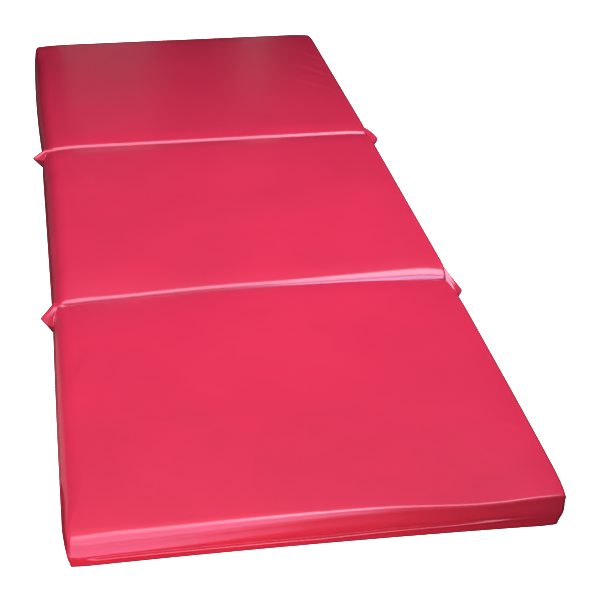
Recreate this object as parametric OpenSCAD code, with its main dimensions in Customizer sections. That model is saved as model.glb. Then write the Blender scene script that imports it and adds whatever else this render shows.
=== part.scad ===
// Three-panel folding gym mat: foam blocks in one vinyl cover that is sewn together at two folds.
// X runs across the mat, Y along it with the rear end at +Y, Z up. The mat lies on Z = 0. Millimetres.

/* [Mat] */
// Pitch of the panels along the mat, fold line to fold line
panel_length = 600; // [300:10:900]
// Width across the mat, wall to wall
mat_width = 600; // [300:10:1000]
// Thickness of a panel at the middle of its crown
mat_thickness = 50; // [40:1:90]
// Rise of a panel's top from its edge to its middle
crown = 2; // [0.5:0.5:6]
// Swell of the walls between their top and bottom edges
wall_bulge = 1.5; // [0.5:0.5:4]

/* [Cover] */
// Thickness of the vinyl sheet
sheet = 1; // [0.6:0.1:1.2]
// Radius of the top edges
top_radius = 10; // [6:1:14]
// Radius of the bottom edges
base_radius = 5; // [4:0.5:8]
// Radius of the panels' upright corners
corner_radius = 10; // [8:1:24]
// Space between the cover and the foam
foam_clear = 0.3; // [0.2:0.1:1]

/* [Folds] */
// Gap between the walls of two panels at a fold
fold_gap = 4; // [4:0.5:12]
// Space between the sewn webs and the walls beside them
web_clear = 0.3; // [0.2:0.1:0.6]
// Height of the arms of the sewn webs
web_arm = 4; // [2:0.5:8]
// Reach of a fabric ear beyond the side wall at mid-height
ear_reach = 18; // [8:1:24]
// Space between an ear and the panel corners beside it
ear_clear = 0.4; // [0.3:0.1:0.8]

/* [Closing seam] */
// Height of the closing seam at the middle of the front wall
seam_height = 12; // [11:0.5:18]
// Rise of the closing seam from the left wall to the right wall
seam_rise = 6; // [0:0.5:8]
// Distance from the side walls at which the seam's valley ends
seam_margin = 32; // [20:1:80]
// Depth of the valley in the sheet
valley_depth = 0.8; // [0.4:0.1:0.8]
// Half the height of the valley's mouth
valley_half = 1.2; // [0.8:0.1:2]

/* [Thread] */
// Radius of the sewing thread
thread_radius = 0.3; // [0.2:0.05:0.4]
// Length of a stitch
stitch_length = 5; // [3:0.5:7]
// Distance from stitch to stitch
stitch_pitch = 8; // [7.5:0.5:12]
// Space between a stitch and the sheet it lies on
stitch_clear = 0.05; // [0.02:0.01:0.1]

/* [Hidden] */
$fn = 24;
corner_steps = 4;
arc_steps = 5;
wall_steps = 4;
crown_steps = 5;
ear_levels = 12;
least_radius = 0.4;
// Share of a panel's half size that the crown's last ring lies in by, and the most that its corners round
crown_share = 0.92;
round_share = 0.9;
// Height from a panel's top edge down to an ear's upper end
ear_drop = 2;
// Angle at which an ear leaves the panels' corners, and how far its root is tucked in behind them
ear_lean = 12;
ear_tuck = 0.5;
// Where an ear's waist lies between its corners and its tip, and the waist's share of the ear's breadth
waist_place = 0.4;
waist_share = 0.3;
// How sharply an ear swells from its ends to its tip, and the least share of it that is left at its ends
ear_swell = 1.3;
ear_least = 0.06;
half_width = mat_width / 2;
edge_height = mat_thickness - crown;
wall_top = edge_height - top_radius;
top_inset = wall_bulge + top_radius;
base_inset = wall_bulge + base_radius;
fold_y = panel_length / 2;
web_height = mat_thickness / 2;
web_length = mat_width - 2 * corner_radius;
// Each panel as [middle along Y, half its length]
end_half = (panel_length - fold_gap / 2) / 2;
front = [-(panel_length + fold_gap / 4), end_half];
middle = [0, (panel_length - fold_gap) / 2];
rear = [panel_length + fold_gap / 4, end_half];

vinyl_red = [0.82, 0.13, 0.27];
wall_red = [0.74, 0.11, 0.24];
base_red = [0.62, 0.09, 0.19];
foam_cream = [0.93, 0.89, 0.76];
thread_pink = [0.90, 0.42, 0.52];

// Inset of the wall's outer face at height z
function wall_inset(z) =
    let (s = (z - base_radius) / (wall_top - base_radius))
    wall_bulge * (1 - 4 * s * (1 - s));

// Points [inset, height] up the wall from the base sheet, offset inwards by off
function wall_profile(off) = [
    for (k = [0 : arc_steps])
        let (a = 90 * k / arc_steps, r = base_radius - off)
        [base_inset - r * sin(a), base_radius - r * cos(a)],
    for (k = [1 : wall_steps])
        let (z = base_radius + (wall_top - base_radius) * k / wall_steps)
        [wall_inset(z) + off, z]
];

// Points [inset, height] over the top edge to the middle of the crown, offset inwards by off
function top_profile(off, reach) = [
    for (k = [0 : arc_steps])
        let (a = 90 * k / arc_steps, r = top_radius - off)
        [top_inset - r * cos(a), wall_top + r * sin(a)],
    for (k = [1 : crown_steps])
        let (u = k / crown_steps)
        [top_inset + u * (reach - top_inset), edge_height + crown * (1 - (1 - u) * (1 - u)) - off]
];

function backwards(list) = [for (i = [len(list) - 1 : -1 : 0]) list[i]];

// How far in the crown's last ring lies
function crown_reach(panel) = crown_share * min(half_width, panel[1]);

// Corner radius of a ring at an inset: it follows the edge, then grows rounder over the crown
function ring_radius(panel, inset) =
    let (
        left = min(half_width, panel[1]) - inset,
        own = max(corner_radius - min(inset, top_inset), least_radius)
    )
    min(round_share * left, own + max(inset - top_inset, 0) / 2);

// One ring of plan points around a panel at an inset, anticlockwise from above
function plan_ring(panel, inset) =
    let (a = half_width - inset, b = panel[1] - inset, r = ring_radius(panel, inset))
    [
        for (c = [0 : 3]) each [
            for (k = [0 : corner_steps])
                let (t = 90 * (c + k / corner_steps), m = 90 * c + 45)
                [sign(cos(m)) * (a - r) + r * cos(t), panel[0] + sign(sin(m)) * (b - r) + r * sin(t)],
            [a * cos(90 * (c + 1)), panel[0] + b * sin(90 * (c + 1))]
        ]
    ];

function rings(panel, profile) = [
    for (q = profile) [for (p = plan_ring(panel, q[0])) [p[0], p[1], q[1]]]
];

// Faces between ring i and ring k, each with n points
function band(i, k, n) = [
    for (j = [0 : n - 1])
        let (h = (j + 1) % n)
        each [[i * n + j, k * n + j, k * n + h], [i * n + j, k * n + h, i * n + h]]
];

// Middle of a ring of points
function ring_middle(ring) = [for (p = ring) 1] * ring / len(ring);

// A closed skin through a list of rings, with a fan of faces over its first and its last ring
module capped_loft(list) {
    n = len(list[0]);
    m = len(list);
    polyhedron(
        points = [
            for (r = list) each r,
            ring_middle(list[0]),
            ring_middle(list[m - 1])
        ],
        faces = [
            for (j = [0 : n - 1]) [n * m, j, (j + 1) % n],
            for (j = [0 : n - 1]) [n * m + 1, (m - 1) * n + (j + 1) % n, (m - 1) * n + j],
            for (i = [0 : m - 2]) each band(i, i + 1, n)
        ],
        convexity = 6
    );
}

// A closed skin through a list of rings whose last ring joins its first
module ring_loft(list) {
    n = len(list[0]);
    m = len(list);
    polyhedron(
        points = [for (r = list) each r],
        faces = [for (i = [0 : m - 1]) each band(i, (i + 1) % m, n)],
        convexity = 6
    );
}

// Top sheet of a panel: crowned, rounded over its edges down to the walls
module top_sheet(panel) {
    reach = crown_reach(panel);
    color(vinyl_red)
        capped_loft(rings(panel, concat(backwards(top_profile(sheet, reach)), top_profile(0, reach))));
}

// Base sheet of a panel: the flat sheet that lies on the floor
module base_sheet(panel) {
    color(base_red)
        linear_extrude(sheet)
            polygon(plan_ring(panel, base_inset));
}

// Foam block of a panel, in the shape of the cover's inside
module foam_block(panel) {
    off = sheet + foam_clear;
    color(foam_cream)
        capped_loft(rings(panel, concat(wall_profile(off), top_profile(off, crown_reach(panel)))));
}

// The whole wall around a panel, before it is cut into strips
module wall_band(panel) {
    ring_loft(rings(panel, concat(wall_profile(0), backwards(wall_profile(sheet)))));
}

// Mask of one side of a panel, cut at 45 degrees through the corners. side is its outward direction [x, y]
module side_mask(panel, side) {
    out = corner_radius;
    x0 = half_width - corner_radius;
    y0 = panel[1] - corner_radius;
    along = side[0] == 0 ? x0 : y0;
    away = side[0] == 0 ? y0 : x0;
    turn = side[0] == 0 ? 90 * side[1] : 90 - 90 * side[0];
    translate([0, panel[0], -1])
        linear_extrude(mat_thickness + 2)
            rotate(turn)
                polygon([
                    [away, -along],
                    [away + 2 * out, -along - 2 * out],
                    [away + 2 * out, along + 2 * out],
                    [away, along]
                ]);
}

// Wall strip on one side of a panel
module wall_strip(panel, side) {
    color(wall_red)
        intersection() {
            wall_band(panel);
            side_mask(panel, side);
        }
}

// Moves drawings to the closing seam: X along its line, Y into the wall from its outer face, Z up the wall
module at_seam() {
    low = wall_inset(seam_height - seam_rise / 2);
    high = wall_inset(seam_height + seam_rise / 2);
    translate([0, front[0] - front[1] + (low + high) / 2, seam_height])
        rotate([0, -atan2(seam_rise, mat_width), atan2(high - low, mat_width)])
            children();
}

// Prism that cuts the closing seam's valley into the front wall
module valley_cut() {
    mouth = 2 * valley_depth;
    slope = valley_half / valley_depth;
    at_seam()
        rotate([90, 0, 90])
            linear_extrude(mat_width - 2 * seam_margin, center = true)
                polygon([
                    [valley_depth, 0],
                    [valley_depth - mouth, slope * mouth],
                    [valley_depth - mouth, -slope * mouth]
                ]);
}

// Part of the front wall above the closing seam (up = 1) or below it (up = -1), with the valley cut away
module front_wall_part(up) {
    color(wall_red)
        difference() {
            intersection() {
                wall_strip(front, [0, -1]);
                at_seam()
                    translate([0, 0, up * mat_thickness])
                        cube([2 * mat_width, 2 * panel_length, 2 * mat_thickness], center = true);
            }
            valley_cut();
        }
}

// A row of stitches along X, centred, with thread centres at y and z
module stitch_row(length, y, z) {
    count = floor((length - stitch_length) / stitch_pitch);
    color(thread_pink)
        for (i = [0 : count])
            translate([(i - count / 2) * stitch_pitch, y, z])
                rotate([0, 90, 0])
                    cylinder(r = thread_radius, h = stitch_length, center = true);
}

// Sewn web at a fold. up = 1 is the top sheet's valley, up = -1 the base sheet's ridge
module fold_web(y, up) {
    half = fold_gap / 2 - web_clear;
    color(vinyl_red)
        translate([0, y, web_height])
            rotate([90, 0, 90])
                linear_extrude(web_length, center = true)
                    scale_y(up)
                        polygon([
                            [-half, 0],
                            [half, 0],
                            [half, sheet + web_arm],
                            [half - sheet, sheet + web_arm],
                            [half - sheet, sheet],
                            [sheet - half, sheet],
                            [sheet - half, sheet + web_arm],
                            [-half, sheet + web_arm]
                        ]);
}

// Turns a drawing over when up is -1
module scale_y(up) {
    mirror([0, up < 0 ? 1 : 0])
        children();
}

// Thread that sews the two webs of a fold together
module fold_stitches(y) {
    stitch_row(web_length, y, web_height + sheet + thread_radius + stitch_clear);
}

// Inset of a panel's outer face at height z, up to its top edge
function edge_inset(z) =
    let (over = z - wall_top)
    over > 0 ? top_inset - sqrt(top_radius * top_radius - over * over) : wall_inset(z);

// One ring of a right ear at height z, grown to a share k of its full size
function ear_ring(y, k, z) =
    let (
        r = max(corner_radius - edge_inset(z), least_radius) + ear_clear,
        side = [
            half_width - corner_radius + r * cos(ear_lean),
            fold_gap / 2 + corner_radius - r * sin(ear_lean)
        ],
        root = side[0] - side[1] * tan(ear_lean),
        tip = root + k * (half_width + ear_reach - root),
        sx = root + k * (side[0] - root),
        sy = k * side[1],
        fx = sx + waist_place * (tip - sx),
        fy = waist_share * sy
    )
    [
        [root - ear_tuck, y, z],
        [sx, y - sy, z],
        [fx, y - fy, z],
        [tip, y, z],
        [fx, y + fy, z],
        [sx, y + sy, z]
    ];

// Ear at the right end of a fold: the side wall's fabric, pushed out in a pleat where the fold pinches it
module right_ear(y) {
    low = base_radius;
    high = edge_height - ear_drop;
    color(wall_red)
        capped_loft([
            for (i = [0 : ear_levels])
                let (s = i / ear_levels, k = max(ear_least, pow(sin(180 * s), ear_swell)))
                ear_ring(y, k, low + s * (high - low))
        ]);
}

module left_ear(y) {
    mirror([1, 0, 0])
        right_ear(y);
}

module front_foam() {
    foam_block(front);
}

module middle_foam() {
    foam_block(middle);
}

module rear_foam() {
    foam_block(rear);
}

module front_top_sheet() {
    top_sheet(front);
}

module middle_top_sheet() {
    top_sheet(middle);
}

module rear_top_sheet() {
    top_sheet(rear);
}

module front_base_sheet() {
    base_sheet(front);
}

module middle_base_sheet() {
    base_sheet(middle);
}

module rear_base_sheet() {
    base_sheet(rear);
}

module front_left_wall() {
    wall_strip(front, [-1, 0]);
}

module front_right_wall() {
    wall_strip(front, [1, 0]);
}

module middle_left_wall() {
    wall_strip(middle, [-1, 0]);
}

module middle_right_wall() {
    wall_strip(middle, [1, 0]);
}

module rear_left_wall() {
    wall_strip(rear, [-1, 0]);
}

module rear_right_wall() {
    wall_strip(rear, [1, 0]);
}

module front_end_wall() {
    front_wall_part(1);
}

module front_closing_strip() {
    front_wall_part(-1);
}

module closing_stitches() {
    away = (thread_radius + stitch_clear) / sin(atan2(valley_half, valley_depth));
    at_seam()
        stitch_row(mat_width - 2 * seam_margin, valley_depth - away, 0);
}

module rear_end_wall() {
    wall_strip(rear, [0, 1]);
}

module front_fold_wall() {
    wall_strip(front, [0, 1]);
}

module middle_front_fold_wall() {
    wall_strip(middle, [0, -1]);
}

module middle_rear_fold_wall() {
    wall_strip(middle, [0, 1]);
}

module rear_fold_wall() {
    wall_strip(rear, [0, -1]);
}

module front_fold_top_web() {
    fold_web(-fold_y, 1);
}

module front_fold_base_web() {
    fold_web(-fold_y, -1);
}

module front_fold_stitches() {
    fold_stitches(-fold_y);
}

module front_fold_left_ear() {
    left_ear(-fold_y);
}

module front_fold_right_ear() {
    right_ear(-fold_y);
}

module rear_fold_top_web() {
    fold_web(fold_y, 1);
}

module rear_fold_base_web() {
    fold_web(fold_y, -1);
}

module rear_fold_stitches() {
    fold_stitches(fold_y);
}

module rear_fold_left_ear() {
    left_ear(fold_y);
}

module rear_fold_right_ear() {
    right_ear(fold_y);
}

front_foam();
front_top_sheet();
front_base_sheet();
front_left_wall();
front_right_wall();
front_end_wall();
front_closing_strip();
closing_stitches();
front_fold_wall();
middle_foam();
middle_top_sheet();
middle_base_sheet();
middle_left_wall();
middle_right_wall();
middle_front_fold_wall();
middle_rear_fold_wall();
rear_foam();
rear_top_sheet();
rear_base_sheet();
rear_left_wall();
rear_right_wall();
rear_end_wall();
rear_fold_wall();
front_fold_top_web();
front_fold_base_web();
front_fold_stitches();
front_fold_left_ear();
front_fold_right_ear();
rear_fold_top_web();
rear_fold_base_web();
rear_fold_stitches();
rear_fold_left_ear();
rear_fold_right_ear();
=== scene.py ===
"""Looks of a folding gym mat: padded vinyl panels, the sewn folds between them and a plain studio."""
import logging
import math
from collections.abc import Callable
from dataclasses import dataclass, field, replace
from enum import Enum

import bpy
import numpy as np
from mathutils import Matrix, Vector, noise


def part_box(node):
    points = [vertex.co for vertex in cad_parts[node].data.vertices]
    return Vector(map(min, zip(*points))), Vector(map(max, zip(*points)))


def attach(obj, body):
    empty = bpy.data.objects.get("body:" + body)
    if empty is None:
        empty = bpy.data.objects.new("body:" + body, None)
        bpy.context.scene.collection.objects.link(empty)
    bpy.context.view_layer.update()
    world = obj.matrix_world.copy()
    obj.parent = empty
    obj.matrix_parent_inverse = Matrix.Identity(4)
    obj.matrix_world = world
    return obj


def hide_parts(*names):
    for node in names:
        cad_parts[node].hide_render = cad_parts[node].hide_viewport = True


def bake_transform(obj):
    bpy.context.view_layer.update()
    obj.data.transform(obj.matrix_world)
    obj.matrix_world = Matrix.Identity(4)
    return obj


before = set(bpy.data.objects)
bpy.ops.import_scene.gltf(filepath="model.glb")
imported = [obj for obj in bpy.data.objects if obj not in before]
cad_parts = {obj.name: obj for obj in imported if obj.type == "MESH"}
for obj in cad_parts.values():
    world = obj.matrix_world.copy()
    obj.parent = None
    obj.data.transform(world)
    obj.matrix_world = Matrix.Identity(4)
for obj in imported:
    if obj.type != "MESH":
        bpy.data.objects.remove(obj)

LOG = logging.getLogger("gym_mat")
MM = 0.001
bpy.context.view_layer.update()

STITCH_LENGTH = 5 * MM
STITCH_PITCH = 8 * MM
THREAD_RADIUS = 0.45 * MM
THREAD_SIDES = 8
# Places along a stitch as shares of its length, each with its share of the thread's radius.
STITCH_FORM = ((0, 0.35), (0.08, 0.8), (0.3, 1.0), (0.7, 1.0), (0.92, 0.8), (1, 0.35))

Array = np.ndarray
Object = bpy.types.Object
Material = bpy.types.Material
Socket = bpy.types.NodeSocket
Colour = tuple[float, float, float]
Point = tuple[float, float]
Place = tuple[float, float, float]
Faces = list[tuple[int, ...]]


class Side(Enum):
    """The four sides of a panel, each with its outward direction in plan."""

    LEFT = (-1, 0)
    RIGHT = (1, 0)
    FRONT = (0, -1)
    REAR = (0, 1)

    @property
    def axis(self) -> int:
        """The axis that the side faces along: 0 for X and 1 for Y."""
        return 0 if self.value[0] else 1

    @property
    def sign(self) -> int:
        """The direction that the side faces along its axis."""
        return self.value[self.axis]


# The two sides across each axis, lowest first.
AXES = ((Side.LEFT, Side.RIGHT), (Side.FRONT, Side.REAR))
Corner = tuple[Side, Side]


class Shine(Enum):
    """What a light gives, to diffuse and to glossy rays: shading, a reflection or both."""

    BOTH = (True, True)
    SHADING = (True, False)
    REFLECTION = (False, True)


class Reach(Enum):
    """Which pieces a light reaches, with its light-linking state: all, one alone or all but one."""

    ALL = ""
    ONLY = "INCLUDE"
    ALL_BUT = "EXCLUDE"


class Tint(Enum):
    """The colours of the lights."""

    WHITE = (1.0, 1.0, 1.0)
    COOL = (0.92, 0.76, 1.0)
    WARM = (1.0, 0.55, 0.55)
    ROSY = (1.0, 0.45, 0.45)
    VIOLET = (0.5, 0.75, 1.35)
    BLUE = (0.6, 0.85, 1.5)


def mm(*values: float) -> tuple[float, ...]:
    """Turns millimetres into metres."""
    return tuple(value * MM for value in values)


def linear(red: int, green: int, blue: int) -> Colour:
    """Turns a display colour, in parts from 0 to 255, into the linear values of a shader."""
    shares = [value / 255 for value in (red, green, blue)]
    return tuple(s / 12.92 if s <= 0.04045 else ((s + 0.055) / 1.055) ** 2.4 for s in shares)


def smooth(share: Array) -> Array:
    """Smooth step of a share, from 0 at or below 0 to 1 at or above 1."""
    t = np.clip(share, 0.0, 1.0)
    return t * t * (3 - 2 * t)


def add_mesh(name: str, points: Array, faces: Faces, material: Material) -> Object:
    """Makes a smooth-shaded mesh object.

    Args:
        name: Name of the piece.
        points: Vertex positions, one row each, in metres.
        faces: Vertex numbers of each face.
        material: Finish of the piece.

    Returns:
        The new object, linked to the scene.
    """
    mesh = bpy.data.meshes.new(name)
    mesh.from_pydata([tuple(p) for p in points], [], faces)
    mesh.validate()
    mesh.polygons.foreach_set("use_smooth", [True] * len(mesh.polygons))
    mesh.materials.append(material)
    piece = bpy.data.objects.new(name, mesh)
    bpy.context.scene.collection.objects.link(piece)
    return piece


def loft(rings: Array) -> tuple[Array, Faces]:
    """Joins rings of points into a skin with a fan over each end.

    Args:
        rings: Array of rings, points and coordinates.

    Returns:
        Points and faces of the skin.
    """
    count, size = rings.shape[0], rings.shape[1]
    points = np.vstack([rings.reshape(-1, 3), rings[0].mean(axis=0), rings[-1].mean(axis=0)])
    first, last = count * size, count * size + 1
    faces: Faces = []
    for i in range(count - 1):
        for j in range(size):
            k = (j + 1) % size
            faces.append((i * size + j, i * size + k, (i + 1) * size + k, (i + 1) * size + j))
    for j in range(size):
        k = (j + 1) % size
        faces.append((first, k, j))
        faces.append((last, (count - 1) * size + j, (count - 1) * size + k))
    return points, faces


def stitch_mesh(name: str, runs: list[tuple[Array, Array]], material: Material) -> Object:
    """Makes a row of stitches as one mesh, each plump in its middle and drawn in at its ends.

    Args:
        name: Name of the piece.
        runs: Start and end of each stitch.
        material: Finish of the thread.

    Returns:
        The new object.
    """
    turn = np.linspace(0, 2 * math.pi, THREAD_SIDES, endpoint=False)
    circle = np.column_stack([np.zeros(THREAD_SIDES), np.cos(turn), np.sin(turn)]) * THREAD_RADIUS
    all_points: list[Array] = []
    all_faces: Faces = []
    offset = 0
    for start, end in runs:
        rings = [start + (end - start) * share + circle * swell for share, swell in STITCH_FORM]
        points, faces = loft(np.array(rings))
        all_points.append(points)
        all_faces += [tuple(i + offset for i in face) for face in faces]
        offset += len(points)
    return add_mesh(name, np.vstack(all_points), all_faces, material)


class Nodes:
    """A small helper that adds linked shader nodes to one node tree."""

    def __init__(self, tree: bpy.types.NodeTree) -> None:
        """Keeps the node tree and clears it."""
        self.tree = tree
        self.tree.nodes.clear()

    def add(self, kind: str, **inputs: object) -> bpy.types.Node:
        """Adds a node and sets or links its inputs.

        Args:
            kind: Type name of the node, without its ShaderNode prefix.
            inputs: Values or output sockets, by input name with underscores for spaces.

        Returns:
            The new node.
        """
        node = self.tree.nodes.new("ShaderNode" + kind)
        for name, value in inputs.items():
            socket = node.inputs[name.replace("_", " ")]
            if isinstance(value, Socket):
                self.tree.links.new(value, socket)
            else:
                socket.default_value = value
        return node

    def cloud(self, place: Socket, form: Point) -> Socket:
        """Adds a noise of a given scale and detail over places."""
        scale, detail = form
        return self.add("TexNoise", Vector=place, Scale=scale, Detail=detail).outputs["Fac"]

    def mix(self, share: float | Socket, first: Socket, second: Socket) -> Socket:
        """Mixes two shaders.

        Args:
            share: Share of the second shader, as a value or a socket.
            first: The first shader.
            second: The second shader.

        Returns:
            The mixed shader.
        """
        node = self.add("MixShader", Fac=share)
        self.tree.links.new(first, node.inputs[1])
        self.tree.links.new(second, node.inputs[2])
        return node.outputs["Shader"]


def blank_material(name: str) -> tuple[Material, Nodes]:
    """Makes a material with an empty node tree.

    Args:
        name: Name of the material.

    Returns:
        The material and the helper that fills its tree.
    """
    material = bpy.data.materials.new(name)
    material.use_nodes = True
    return material, Nodes(material.node_tree)


@dataclass(frozen=True)
class VinylFinish:
    """Glossy coated vinyl: a fine pressed grain, faint mottling and uneven gloss.

    Each cloud is given by its scale and detail, and cloud_range is the part of it that counts.
    """

    name: str
    colour: Colour
    roughness: float = 0.25
    roughness_spread: float = 0.02
    refraction: float = 1.5
    specular: float = 0.5
    coat: float = 0.4
    coat_roughness: float = 0.15
    mottle: float = 0.05
    mottle_cloud: Point = (7.0, 3.0)
    wear_cloud: Point = (35.0, 4.0)
    cloud_range: Point = (0.3, 0.7)
    ripple_cloud: Point = (28.0, 2.0)
    ripple_depth: float = 0.0001
    ripple_strength: float = 0.5
    grain_scale: float = 650.0
    grain_depth: float = 0.00012
    grain_strength: float = 0.35

    def build(self) -> Material:
        """Builds the node material.

        Returns:
            The vinyl material.
        """
        material, nodes = blank_material(self.name)
        place = nodes.add("TexCoord").outputs["Object"]
        tint = nodes.add("ValToRGB", Fac=nodes.cloud(place, self.mottle_cloud))
        shares = (1 - self.mottle, 1 + self.mottle)
        for stop, at, share in zip(tint.color_ramp.elements, self.cloud_range, shares):
            stop.position = at
            stop.color = (*[min(1.0, c * share) for c in self.colour], 1.0)
        gloss = nodes.add(
            "MapRange",
            Value=nodes.cloud(place, self.wear_cloud),
            From_Min=self.cloud_range[0],
            From_Max=self.cloud_range[1],
            To_Min=self.roughness - self.roughness_spread,
            To_Max=self.roughness + self.roughness_spread,
        )
        ripple = nodes.add(
            "Bump",
            Height=nodes.cloud(place, self.ripple_cloud),
            Strength=self.ripple_strength,
            Distance=self.ripple_depth,
        )
        cells = nodes.add("TexVoronoi", Vector=place, Scale=self.grain_scale)
        grain = nodes.add(
            "Bump",
            Height=cells.outputs["Distance"],
            Normal=ripple.outputs["Normal"],
            Strength=self.grain_strength,
            Distance=self.grain_depth,
        )
        shader = nodes.add(
            "BsdfPrincipled",
            Base_Color=tint.outputs["Color"],
            Roughness=gloss.outputs["Result"],
            Normal=grain.outputs["Normal"],
            IOR=self.refraction,
            Specular_IOR_Level=self.specular,
            Coat_Weight=self.coat,
            Coat_Roughness=self.coat_roughness,
        )
        nodes.add("OutputMaterial", Surface=shader.outputs["BSDF"])
        return material


@dataclass(frozen=True)
class ThreadFinish:
    """Twisted sewing thread with a soft sheen, and painted shade in the grooves of its twist."""

    name: str
    colour: Colour
    twist_scale: float = 900.0
    twist_sway: float = 1.5
    twist_painted_shade: float = 0.75
    twist_depth: float = 0.0001
    twist_strength: float = 0.5
    roughness: float = 0.6
    sheen: float = 0.3

    def build(self) -> Material:
        """Builds the node material.

        Returns:
            The thread material.
        """
        material, nodes = blank_material(self.name)
        place = nodes.add("TexCoord").outputs["Object"]
        scale, sway = self.twist_scale, self.twist_sway
        wave = nodes.add("TexWave", Vector=place, Scale=scale, Distortion=sway)
        wave.bands_direction = "DIAGONAL"
        strand = wave.outputs["Fac"]
        # Painted shade: the thread's colour is darker along the twist's bands, standing in for shade
        # in the grooves between its plies.
        tint = nodes.add("ValToRGB", Fac=strand)
        for stop, share in zip(tint.color_ramp.elements, (self.twist_painted_shade, 1.0)):
            stop.color = (*[c * share for c in self.colour], 1.0)
        bump = nodes.add(
            "Bump", Height=strand, Strength=self.twist_strength, Distance=self.twist_depth
        )
        shader = nodes.add(
            "BsdfPrincipled",
            Base_Color=tint.outputs["Color"],
            Normal=bump.outputs["Normal"],
            Roughness=self.roughness,
            Sheen_Weight=self.sheen,
        )
        nodes.add("OutputMaterial", Surface=shader.outputs["BSDF"])
        return material


@dataclass(frozen=True)
class FloorFinish:
    """Plain pale studio floor, partly clear so that its shadows stay light."""

    name: str
    colour: Colour = (0.9, 0.9, 0.9)
    clear: float = 0.8

    def build(self) -> Material:
        """Builds the node material.

        Returns:
            The floor material.
        """
        material, nodes = blank_material(self.name)
        solid = nodes.add("BsdfDiffuse", Color=(*self.colour, 1.0), Roughness=1.0)
        clear = nodes.add("BsdfTransparent")
        surface = nodes.mix(self.clear, solid.outputs["BSDF"], clear.outputs["BSDF"])
        nodes.add("OutputMaterial", Surface=surface)
        return material


@dataclass(frozen=True)
class Wrinkle:
    """A soft crease in the top sheet between two points: a ridge with a valley beside it."""

    start: Point
    end: Point
    width: float
    depth: float
    overrun: float = 0.1
    lead_in: float = 0.3
    run_out: float = 0.5
    valley_place: float = 1.4
    valley_share: float = 0.7

    def height(self, x: Array, y: Array) -> Array:
        """Height of the crease above the sheet.

        Args:
            x: Places along X.
            y: Places along Y.

        Returns:
            Height at each place.
        """
        first, last = np.array(self.start), np.array(self.end)
        run = last - first
        length = float(np.hypot(*run))
        along = ((x - first[0]) * run[0] + (y - first[1]) * run[1]) / length**2
        across = ((x - first[0]) * run[1] - (y - first[1]) * run[0]) / length
        fade = smooth((along + self.overrun) / self.lead_in)
        fade = fade * smooth((1 + self.overrun - along) / self.run_out)
        ridge = np.exp(-((across / self.width) ** 2))
        valley = np.exp(-(((across - self.valley_place * self.width) / self.width) ** 2))
        return self.depth * fade * (ridge - self.valley_share * valley)


@dataclass(frozen=True)
class Dip:
    """An oval place where the top sheet sags, with its reach along X and along Y."""

    middle: Point
    reach: Point
    depth: float

    def height(self, x: Array, y: Array) -> Array:
        """Height of the sag at places along X and Y, which is negative."""
        away = np.hypot((x - self.middle[0]) / self.reach[0], (y - self.middle[1]) / self.reach[1])
        return -self.depth * np.exp(-(away**2))


@dataclass(frozen=True)
class SeamLine:
    """The closing seam in the front wall: its heights from the left, its run and its relief."""

    heights: tuple[float, ...] = mm(12, 12.2, 11.8, 11.4, 10.8, 13.2, 14.5, 16.2, 18.3)
    left_margin: float = 22 * MM
    right_margin: float = 12 * MM
    left_fade: float = 15 * MM
    right_fade: float = 150 * MM
    valley_depth: float = 2.2 * MM
    valley_place: float = 0.9 * MM
    valley_width: float = 1.0 * MM
    lip_height: float = 2.6 * MM
    lip_place: float = -1.1 * MM
    lip_width: float = 1.1 * MM

    def height(self, x: Array, half_width: float) -> Array:
        """Height of the seam above the floor at places along a wall of a given half width."""
        return np.interp(x, np.linspace(-half_width, half_width, len(self.heights)), self.heights)

    def strength(self, x: Array, half_width: float) -> Array:
        """How far the seam is formed at each place: 1 along its run, fading to 0 at its ends.

        Args:
            x: Places along X.
            half_width: Half the mat's width.

        Returns:
            Share from 0 to 1.
        """
        left = smooth((x + half_width - self.left_margin) / self.left_fade)
        right = smooth((half_width - self.right_margin - x) / self.right_fade)
        return left * right

    def relief(self, above: Array) -> Array:
        """Inset of the wall near the seam: a valley above the line and a raised lip below it.

        Args:
            above: Height above the seam's line.

        Returns:
            Inset, which is negative on the lip.
        """
        valley = np.exp(-(((above - self.valley_place) / self.valley_width) ** 2))
        lip = np.exp(-(((above - self.lip_place) / self.lip_width) ** 2))
        return self.valley_depth * valley - self.lip_height * lip


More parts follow.
